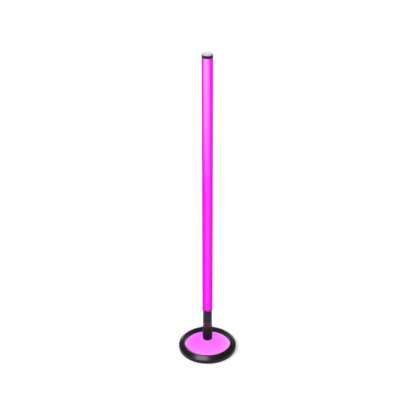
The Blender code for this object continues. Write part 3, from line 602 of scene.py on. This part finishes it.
def make_cone():
    """The cone, flanged at its foot, with a hole for the post at its top."""
    foot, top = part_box("base_diffuser")
    wall, bore, shoulder = 0.0015, 0.0164, 0.0205
    cone_radius = WELL_RADIUS - SEAM
    edge_z = foot.z + 0.0012
    outline = rounded(
        (top.x, foot.z),
        (top.x, edge_z),
        (cone_radius, edge_z, 0.0008),
        (shoulder, top.z, 0.0040),
        (bore, top.z),
        (bore, top.z - wall),
        (shoulder - 0.0005, top.z - wall, 0.0030),
        (cone_radius - 0.0007, foot.z),
        steps=10,
    )
    cone = lathe("lit_cone", outline, WIDE_TURN)
    dress(cone, "base", FINISHES["cone"], "lit_diffuser", "base_diffuser")


def make_collar():
    """The post on the floor plate and the collar on it, with a fine line turned below its rim."""
    foot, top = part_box("base_socket")
    radius = top.x
    line = radius - 0.0003
    collar_z = high("base_diffuser").z + SEAM
    post, bore, floor = 0.0160, 0.0156, 0.0500
    jack_hole, hollow, ceiling = 0.0063, 0.0100, floor - 0.0040
    outline = rounded(
        (post, foot.z),
        (post, collar_z),
        (radius, collar_z, 0.0022),
        (radius, top.z - 0.0062),
        (line, top.z - 0.0060),
        (line, top.z - 0.0055),
        (radius, top.z - 0.0053),
        (radius, top.z, 0.0011),
        (bore, top.z, 0.0005),
        (bore, floor),
        (jack_hole, floor, 0.0003),
        (jack_hole, ceiling),
        (hollow, ceiling),
        (hollow, foot.z),
        steps=8,
    )
    collar = lathe("base_collar", outline, TUBE_TURN)
    dress(collar, "base", FINISHES["collar"], "black_shell", "base_socket")


def make_plate():
    """The floor plate, with a pressed bead round it."""
    bottom, top = low("base_plate").z, high("base_plate").z
    radius = high("base_plate").x
    near_axis, bead_radius, bead, drop = 0.0001, 0.052, 0.0052, 0.0006
    outline = rounded(
        (near_axis, top),
        (radius, top, 0.0004),
        (radius, bottom, 0.0004),
        (bead_radius + bead, bottom, 0.0010),
        (bead_radius + bead / 2, bottom - drop, 0.0010),
        (bead_radius - bead / 2, bottom - drop, 0.0010),
        (bead_radius - bead, bottom, 0.0010),
        (near_axis, bottom),
        steps=4,
    )
    plate = lathe("floor_plate", outline, WIDE_TURN)
    dress(plate, "base", FINISHES["plate"], "floor_plate", "base_plate")


def make_feet():
    for index in range(1, 5):
        node = f"base_foot_{index}"
        bottom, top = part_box(node)
        radius = (top.x - bottom.x) / 2
        chain = [
            (0, top.z),
            (radius, top.z),
            (radius, bottom.z + 0.0008),
            (radius - 0.0003, bottom.z + 0.0003),
            (radius - 0.0008, bottom.z),
            (radius * 0.55, bottom.z),
            (radius * 0.50, bottom.z + 0.0003),
            (0, bottom.z + 0.0003),
        ]
        foot = lathe(f"rubber_foot_{index}", chain, SMALL_TURN, closed=False)
        foot.matrix_world = Matrix.Translation(((bottom.x + top.x) / 2, (bottom.y + top.y) / 2, 0))
        dress(foot, "base", FINISHES["rubber"], "rubber", node)


# Screws

SCREW_HEAD = 0.0029
SCREW_RISE = 0.0012


def screw_piece(name, length):
    """A pan-head screw along local Z with a cross recess, its head above z = 0."""
    chain = [(0, SCREW_RISE)]
    steps = 6
    for step in range(steps + 1):
        turn = math.radians(90) * step / steps
        share = 0.62 + 0.38 * math.sin(turn)
        chain.append((SCREW_HEAD * share, SCREW_RISE * (0.25 + 0.75 * math.cos(turn))))
    shank, pitch = 0.0013, 0.0008
    chain += [(SCREW_HEAD, 0.0), (shank, 0.0)]
    turns = int((length - 0.0022) / pitch)
    for turn in range(turns):
        depth = -0.0006 - turn * pitch
        chain += [(shank, depth), (shank - 0.0002, depth - pitch * 0.4)]
    chain += [(shank, -0.0006 - turns * pitch), (0.0002, -length), (0, -length)]
    item = lathe(name, chain, TINY_TURN, closed=False)
    arms = []
    for turn in (0, 90):
        arm = slab_mesh(SCREW_HEAD * 1.15, 0.0006, 0.0001, SCREW_RISE - 0.0007, SCREW_RISE + 0.0010, steps=1)
        arms.append((arm, Matrix.Rotation(math.radians(turn), 4, "Z")))
    return carve(item, arms)


def make_screws():
    flip = Matrix.Rotation(math.radians(180), 4, "X")
    groups = (("plate_screw_", 4, "base"), ("socket_screw_", 3, "base"), ("handle_screw_", 4, "tube"))
    for prefix, count, body in groups:
        for index in range(1, count + 1):
            node = f"{prefix}{index}"
            bottom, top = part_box(node)
            size = top - bottom
            centre = (bottom + top) / 2
            if body == "base":
                item = screw_piece(f"{node}_fine", size.z - SCREW_RISE)
                item.matrix_world = Matrix.Translation((centre.x, centre.y, bottom.z + SCREW_RISE)) @ flip
            else:
                item = screw_piece(f"{node}_fine", size.x - SCREW_RISE)
                side = 0 if centre.x > 0 else 180
                head = max(abs(bottom.x), abs(top.x)) - SCREW_RISE
                item.matrix_world = radial(side, centre.z, head)
            dress(item, body, FINISHES["screw"], "black_screw", node)


# Inlet at the back of the base

def make_power_button():
    bottom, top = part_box("power_button")
    face, back = 0.1105, 0.1050
    rise, radius = face - back, BUTTON_RADIUS
    flange, flange_rise = radius + 0.0007, 0.0009
    chain = [
        *dished_face(radius * 0.66, rise, 0.0004),
        (radius - 0.0007, rise),
        (radius - 0.0002, rise - 0.0002),
        (radius, rise - 0.0007),
        (radius, flange_rise),
        (flange, flange_rise),
        (flange, 0),
        (0, 0),
    ]
    button = lathe("power_button_cap", chain, SMALL_TURN, closed=False)
    button.matrix_world = radial(BUTTON_BEARING, (bottom.z + top.z) / 2, back)
    dress(button, "power_button", FINISHES["key"], "key_rubber", "power_button")


def make_cover():
    """The socket's rubber flap, with a round finger notch near its free end, and the plug behind it."""
    bottom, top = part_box("charging_cover")
    outer, thickness = top.y, 0.0012
    centre = (bottom + top) / 2
    slab = slab_mesh(COVER_WIDTH, COVER_HEIGHT, 0.0016, outer - thickness, outer)
    flap = finish_mesh("charging_flap", slab)
    flap.matrix_world = Matrix.Translation((centre.x, 0, 0)) @ BACK
    notch = rod_mesh(0.0011, outer - 0.0004, outer + 0.001)
    carve(flap, [(notch, Matrix.Translation((-COVER_WIDTH / 2 + 0.0017, 0, 0)))])
    soften(flap, 0.0002)
    dress(flap, "charging_cover", FINISHES["rubber"], "rubber", "charging_cover")
    plug = finish_mesh("charging_flap_plug", slab_mesh(0.0068, 0.0014, 0.0006, bottom.y, outer - thickness))
    plug.matrix_world = BACK
    dress(plug, "charging_cover", FINISHES["rubber"], "rubber")


# Handle

PANEL_Z = high("base_socket").z + SEAM
PANEL_TOP_Z = low("grip_sleeve").z - SEAM
HANDLE_RADIUS = high("control_housing").x
WINDOW_LOW, WINDOW_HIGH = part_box("display_window")
KEYS = [f"menu_button_{index}" for index in range(1, 5)]
KEY_RADIUS = 0.00225
SPIGOT_RADIUS, SPIGOT_BORE = 0.0152, 0.0124
TENON_RADIUS, TENON_BORE = 0.0141, 0.0120
PANEL_BORE = 0.0146
WINDOW_WIDTH = 0.0100


def key_place(node):
    """A key's bearing in degrees and its height."""
    centre = middle(node)
    return math.degrees(math.atan2(centre.y, centre.x)), centre.z


def make_housing():
    """The panel, with its spigot below and the tenon that holds the grip above."""
    bottom, top = low("control_housing").z, high("control_housing").z
    outline = rounded(
        (SPIGOT_RADIUS, bottom, 0.0010),
        (SPIGOT_RADIUS, PANEL_Z),
        (HANDLE_RADIUS, PANEL_Z, 0.0005),
        (HANDLE_RADIUS, PANEL_TOP_Z, 0.0005),
        (TENON_RADIUS, PANEL_TOP_Z),
        (TENON_RADIUS, top, 0.0003),
        (TENON_BORE, top),
        (TENON_BORE, PANEL_TOP_Z - 0.0002),
        (PANEL_BORE, PANEL_TOP_Z - 0.0033),
        (PANEL_BORE, PANEL_Z + 0.0034),
        (SPIGOT_BORE, PANEL_Z + 0.0008),
        (SPIGOT_BORE, bottom, 0.0004),
        steps=5,
    )
    housing = lathe("panel_housing", outline, TUBE_TURN)
    window_z = (WINDOW_LOW.z + WINDOW_HIGH.z) / 2
    window_height = WINDOW_HIGH.z - WINDOW_LOW.z + 2 * SEAM
    opening = slab_mesh(WINDOW_WIDTH + 2 * SEAM, window_height, 0.0012, 0.0100, 0.0200)
    shapes = [(opening, facing(-90, window_z))]
    for node in KEYS:
        bearing, height = key_place(node)
        shapes.append((rod_mesh(KEY_RADIUS + 0.0004, 0.0100, 0.0200), radial(bearing, height)))
    carve(housing, shapes)
    soften(housing, 0.00015)
    dress(housing, "tube", FINISHES["panel"], "panel_plastic", "control_housing")


def make_window():
    """A curved pane, a tenth of a millimetre behind the panel's face."""
    half_angle = 17.0
    back, face = 0.0152, HANDLE_RADIUS - 0.0001
    slab = [(back, WINDOW_LOW.z), (face, WINDOW_LOW.z), (face, WINDOW_HIGH.z), (back, WINDOW_HIGH.z)]
    window = lathe("display_glass", slab, TINY_TURN, start=-90 - half_angle, sweep=2 * half_angle)
    height = WINDOW_HIGH.z - WINDOW_LOW.z
    trim = slab_mesh(WINDOW_WIDTH, height, 0.0010, 0.0100, 0.0200)
    carve(window, [(trim, facing(-90, (WINDOW_LOW.z + WINDOW_HIGH.z) / 2))], "INTERSECT")
    soften(window, 0.00012)
    dress(window, "tube", FINISHES["window"], "display_window", "display_window")


SEGMENTS = {"1": "bc", "2": "abged", "8": "abcdefg"}


def segment_mesh(bm, centre, along, across, length, width, depth, front):
    """A six-sided bar with pointed ends, raised from the display's face."""
    half = length / 2
    point = width / 2
    corner = half - point
    outline = [(-half, 0), (-corner, point), (corner, point), (half, 0), (corner, -point), (-corner, -point)]
    rims = []
    for level in (front, front - depth):
        ring = []
        for u, v in outline:
            spot = centre + along * u + across * v
            ring.append(bm.verts.new((spot.x, level, spot.y)))
        rims.append(ring)
    bm.faces.new(rims[0])
    bm.faces.new(rims[1])
    for index in range(len(outline)):
        after = (index + 1) % len(outline)
        bm.faces.new((rims[0][index], rims[0][after], rims[1][after], rims[1][index]))


def make_digits():
    """Three lit digits that read upwards along the handle."""
    bottom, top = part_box("display_module")
    width, height, bar = 0.0034, 0.0054, 0.00075
    pitch = (top.z - bottom.z) / 3.3
    up, right = Vector((-1, 0)), Vector((0, 1))
    bm = bmesh.new()
    for number, digit in enumerate("128"):
        centre = Vector((0, (bottom.z + top.z) / 2 + (number - 1) * pitch))
        bars = {
            "a": (centre + up * height / 2, right, up, width),
            "g": (centre, right, up, width),
            "d": (centre - up * height / 2, right, up, width),
            "f": (centre - right * width / 2 + up * height / 4, up, right, height / 2),
            "b": (centre + right * width / 2 + up * height / 4, up, right, height / 2),
            "e": (centre - right * width / 2 - up * height / 4, up, right, height / 2),
            "c": (centre + right * width / 2 - up * height / 4, up, right, height / 2),
        }
        for letter in SEGMENTS[digit]:
            spot, along, across, length = bars[letter]
            segment_mesh(bm, spot, along, across, length - 0.0003, bar, 0.00018, bottom.y - 0.00002)
    digits = finish_mesh("display_digits", bm)
    dress(digits, "tube", FINISHES["digits"], "display_body")


def make_keys():
    for node in KEYS:
        bearing, height = key_place(node)
        back, face = 0.0130, 0.0174
        rise, flange = face - back, 0.0008
        chain = [
            *dished_face(KEY_RADIUS * 0.62, rise, 0.00025),
            (KEY_RADIUS * 0.82, rise - 0.00004),
            (KEY_RADIUS * 0.95, rise - 0.0002),
            (KEY_RADIUS, rise - 0.0005),
            (KEY_RADIUS, flange),
            (KEY_RADIUS + flange, flange),
            (KEY_RADIUS + flange, 0),
            (0, 0),
        ]
        item = lathe(f"{node}_cap", chain, SMALL_TURN, closed=False)
        item.matrix_world = radial(bearing, height, back)
        dress(item, node, FINISHES["key"], "key_rubber", node)


FLUTES = 16
FLUTE_DEPTH = 0.0007


def make_grip():
    """The ribbed grip: rounded flutes that run out at plain bands above and below."""
    bottom, top = low("grip_sleeve").z, high("grip_sleeve").z
    radius, bore = high("grip_sleeve").x, 0.0144
    band, ease, edge = 0.0016, 0.0012, 0.0004
    rings = [(bore, bottom, 0.0), (radius - edge, bottom, 0.0)]
    steps = 5
    for step in range(1, steps):
        turn = math.radians(90) * step / steps
        rings.append((radius - edge * (1 - math.sin(turn)), bottom + edge * (1 - math.cos(turn)), 0.0))
    rings.append((radius, bottom + band, 0.0))
    for step in range(1, steps + 1):
        share = math.sin(math.radians(90) * step / steps)
        rings.append((radius, bottom + band + ease * step / steps, share))
    half = (bottom + top) / 2
    rings += [(r, 2 * half - z, share) for r, z, share in reversed(rings)]
    count = FLUTES * 12
    bm = bmesh.new()
    made = []
    for r, z, share in rings:
        ring = []
        for index in range(count):
            turn = math.tau * index / count
            groove = max(0.0, math.cos(FLUTES * turn) + 0.25) / 1.25
            across = r - FLUTE_DEPTH * share * groove ** 0.7
            ring.append(bm.verts.new((across * math.cos(turn), across * math.sin(turn), z)))
        made.append(ring)
    for lower, upper in zip(made, made[1:] + made[:1]):
        for index in range(count):
            after = (index + 1) % count
            bm.faces.new((lower[index], lower[after], upper[after], upper[index]))
    grip = finish_mesh("ribbed_grip", bm, sharp=40)
    head_seat, past_grip, shank_hole = 0.0149, 0.0200, 0.0016
    holes = []
    for index in range(1, 5):
        centre = middle(f"handle_screw_{index}")
        place = radial(0 if centre.x > 0 else 180, centre.z)
        holes.append((rod_mesh(SCREW_HEAD + SEAM, head_seat, past_grip), place))
        holes.append((rod_mesh(shank_hole, 0.0100, past_grip, TINY_TURN), place))
    carve(grip, holes)
    dress(grip, "tube", FINISHES["grip"], "grip_plastic", "grip_sleeve")


# What plugs into the frosted tube's ends
PLUG_RADIUS, PLUG_BORE = 0.0170, 0.0130
SEAL_SEAT, SEAL_HALF = 0.0154, 0.00095


def seal_groove(z):
    """An outline's corners round the groove of a seal ring at z, from below it to above it."""
    return (
        (PLUG_RADIUS, z - SEAL_HALF),
        (SEAL_SEAT, z - SEAL_HALF),
        (SEAL_SEAT, z + SEAL_HALF),
        (PLUG_RADIUS, z + SEAL_HALF),
    )


def make_ferrule():
    """The black band under the tube, which plugs into the grip and into the tube."""
    bottom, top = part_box("tube_ferrule")
    tube_z = low("diffuser_tube").z
    grip_top = high("grip_sleeve").z
    neck, rim = 0.0166, 0.0189
    band_top = tube_z - SEAM - 0.0012
    outline = rounded(
        (TENON_BORE, bottom.z),
        (TENON_RADIUS, bottom.z, 0.0003),
        (TENON_RADIUS, grip_top + SEAM),
        (neck, grip_top + SEAM, 0.0003),
        (neck, band_top, 0.0004),
        (rim, band_top, 0.0004),
        (rim, tube_z - SEAM, 0.0002),
        (PLUG_RADIUS, tube_z - SEAM),
        *seal_groove(middle("seal_ring_lower").z),
        (PLUG_RADIUS, top.z, 0.0004),
        (PLUG_BORE, top.z),
        (PLUG_BORE, tube_z + 0.0010),
        (TENON_BORE, tube_z - 0.0010),
        steps=4,
    )
    ferrule = lathe("tube_band", outline, TUBE_TURN)
    dress(ferrule, "tube", FINISHES["collar"], "black_shell", "tube_ferrule")


# Light

TUBE_WALL = 0.0018
CAP_LIP = 0.0018
CAP_SEAT_DEPTH = 0.0017
CAP_GROOVES = 5
CAP_GROOVE_PITCH = 0.0065
CAP_GROOVE_WIDTH = 0.0015


def make_tube():
    bottom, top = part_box("diffuser_tube")
    radius, bore = top.x, top.x - TUBE_WALL
    outline = rounded(
        (radius, bottom.z, 0.0004),
        (radius, top.z, 0.0004),
        (bore, top.z, 0.0002),
        (bore, bottom.z, 0.0002),
        steps=4,
    )
    tube = lathe("frosted_tube", outline, TUBE_TURN)
    dress(tube, "tube", FINISHES["tube"], "lit_tube", "diffuser_tube")


def make_cap():
    """The black rim, which plugs into the tube's top and takes the end plate in its seat."""
    ring_low, ring_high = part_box("top_cap_ring")
    radius = ring_high.x
    tube_top = high("diffuser_tube").z
    lip = radius - CAP_LIP
    seat = ring_high.z - CAP_SEAT_DEPTH
    outline = rounded(
        (PLUG_RADIUS, ring_low.z, 0.0004),
        *seal_groove(middle("seal_ring_upper").z),
        (PLUG_RADIUS, tube_top + SEAM),
        (radius, tube_top + SEAM, 0.0002),
        (radius, ring_high.z, 0.0004),
        (lip, ring_high.z, 0.0003),
        (lip, seat - SEAM),
        (PLUG_BORE, seat - SEAM),
        (PLUG_BORE, ring_low.z),
        steps=4,
    )
    ring = lathe("cap_ring", outline, TUBE_TURN)
    dress(ring, "tube", FINISHES["collar"], "black_shell", "top_cap_ring")
    make_cap_plate(lip - SEAM, seat)


def make_cap_plate(edge, seat):
    """The raised end plate, with rounded grooves from front to back."""
    bottom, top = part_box("top_cap_plate")
    corner = 0.0006
    spigot = PLUG_BORE - SEAM
    chain = [(0, top.z), (edge - corner, top.z)]
    steps = 5
    for step in range(1, steps + 1):
        turn = math.radians(90) * step / steps
        chain.append((edge - corner * (1 - math.sin(turn)), top.z - corner * (1 - math.cos(turn))))
    chain += [(edge, seat), (spigot, seat), (spigot, bottom.z), (0, bottom.z)]
    plate = lathe("grooved_cap", chain, TUBE_TURN, closed=False)
    depth = top.z - high("top_cap_ring").z - 0.0005
    shapes = []
    for index in range(CAP_GROOVES):
        across = (index - (CAP_GROOVES - 1) / 2) * CAP_GROOVE_PITCH
        groove = slab_mesh(CAP_GROOVE_WIDTH, 2 * depth, 0.0006, -0.03, 0.03, steps=4)
        place = Matrix.Translation((across, 0, top.z)) @ Matrix.Rotation(math.radians(90), 4, "X")
        shapes.append((groove, place))
    carve(plate, shapes)
    soften(plate, 0.0002)
    dress(plate, "tube", FINISHES["cap"], "grey_cap", "top_cap_plate")


# CAD nodes that stay

def keep(finish, *nodes):
    """Gives CAD nodes a finish."""
    for node in nodes:
        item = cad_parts[node]
        item.data.materials.clear()
        item.data.materials.append(finish)


def dress_inner_pieces():
    board_thickness = 0.0012
    board_top = low("inlet_board").z + board_thickness
    control_face = low("control_board").y + board_thickness
    switch_face, strip_face = 0.0112, 0.0096
    keep(FINISHES["white"], "base_reflector", "socket_jack", "power_switch", "plug_holder")
    keep(FINISHES["white"], "carrier_plug_lower", "carrier_plug_upper")
    keep(FINISHES["white"], "carrier_spacer_1", "carrier_spacer_2")
    keep(FINISHES["battery"], "battery_pack_left", "battery_pack_right")
    keep(FINISHES["steel"], "charging_socket")
    keep(FINISHES["brass"], "plug_pin")
    keep(FINISHES["aluminium"], "led_carrier")
    keep(FINISHES["rubber"], "seal_ring_lower", "seal_ring_upper")
    keep(FINISHES["display"], "display_module")
    keep(circuit_board("base_boards", (0, 0, 1), board_top), "charger_board", "inlet_board")
    keep(circuit_board("handle_board", (0, 1, 0), control_face), "control_board")
    for side in ("left", "right"):
        node = f"switch_board_{side}"
        centre = middle(node)
        outward = Vector((centre.x, centre.y, 0)).normalized()
        keep(circuit_board(f"{node}_finish", tuple(outward), switch_face), node)
    keep(light_board("ring_light_board", (0, 0, 1), board_top), "base_light_board")
    sides = {"right": (1, 0, 0), "back": (0, 1, 0), "left": (-1, 0, 0), "front": (0, -1, 0)}
    for name, direction in sides.items():
        keep(light_board(f"light_strip_{name}", direction, strip_face), f"led_strip_{name}")


# Stage

CAMERA_PLACE = Vector((0.002, -2.717, 2.0434))
CAMERA_PITCH = 27.88
CAMERA_LENS = 74.9
ROOM_LEVEL = 0.25
SKYLIGHT_POWER = 3.4


def make_floor():
    bm = bmesh.new()
    bmesh.ops.create_circle(bm, cap_ends=True, segments=96, radius=16)
    mesh = bpy.data.meshes.new("floor")
    bm.to_mesh(mesh)
    bm.free()
    floor = bpy.data.objects.new("floor", mesh)
    bpy.context.scene.collection.objects.link(floor)
    finish = Finish("pale_floor", roughness=0.9, specular_ior_level=0.1)
    finish.feed("Base Color", finish.shade((0.90, 0.90, 0.90), 0.004, 3))
    mesh.materials.append(finish.material)


def softbox(name, place, target, size, power, colour):
    """A panel of light that shows only as a highlight in gloss."""
    light = bpy.data.lights.new(name, "AREA")
    light.shape = "RECTANGLE"
    light.size, light.size_y = size
    light.energy = power
    light.color = colour
    lamp = bpy.data.objects.new(name, light)
    lamp.location = place
    lamp.rotation_mode = "QUATERNION"
    lamp.rotation_quaternion = (Vector(target) - Vector(place)).to_track_quat("-Z", "Y")
    lamp.visible_camera = False
    lamp.visible_diffuse = False
    bpy.context.scene.collection.objects.link(lamp)


def make_world():
    """A white backdrop as the camera sees it, and a dim room in what it lights and what it is mirrored in."""
    world = bpy.data.worlds.new("studio")
    world.use_nodes = True
    tree = world.node_tree
    background = tree.nodes["Background"]
    seen = tree.nodes.new("ShaderNodeLightPath").outputs["Is Camera Ray"]
    level = tree.nodes.new("ShaderNodeMapRange")
    level.inputs["To Min"].default_value = ROOM_LEVEL
    level.inputs["To Max"].default_value = 1.0
    tree.links.new(seen, level.inputs["Value"])
    tree.links.new(level.outputs[0], background.inputs["Strength"])
    background.inputs["Color"].default_value = (1.0, 1.0, 1.0, 1.0)
    bpy.context.scene.world = world


def skylight():
    """An even soft light from above, which isn't mirrored in gloss."""
    light = bpy.data.lights.new("skylight", "SUN")
    light.energy = SKYLIGHT_POWER
    light.angle = math.radians(100)
    lamp = bpy.data.objects.new("skylight", light)
    lamp.rotation_euler = (math.radians(12), math.radians(-18), 0)
    lamp.visible_glossy = False
    bpy.context.scene.collection.objects.link(lamp)


def make_stage():
    make_floor()
    make_world()
    skylight()
    softbox("key", (-1.40, -1.80, 4.4), (-1.40, -1.80, 0.0), (2.9, 1.3), 250, (1.0, 0.84, 1.0))
    softbox("back", (-0.60, 2.70, 4.0), (0.0, 0.0, 0.0), (1.8, 1.0), 105, (1.0, 0.86, 1.0))


def make_camera():
    data = bpy.data.cameras.new("camera")
    data.lens = CAMERA_LENS
    data.sensor_width = 36
    camera = bpy.data.objects.new("camera", data)
    camera.location = CAMERA_PLACE
    camera.rotation_euler = (math.radians(90 - CAMERA_PITCH), 0, 0)
    bpy.context.scene.collection.objects.link(camera)
    bpy.context.scene.camera = camera


def main():
    make_camera()
    make_ring()
    make_cone()
    make_collar()
    make_plate()
    make_feet()
    make_screws()
    make_power_button()
    make_cover()
    make_housing()
    make_window()
    make_digits()
    make_keys()
    make_grip()
    make_ferrule()
    make_tube()
    make_cap()
    dress_inner_pieces()
    make_stage()
    bpy.context.scene.view_settings.view_transform = "Standard"


main()
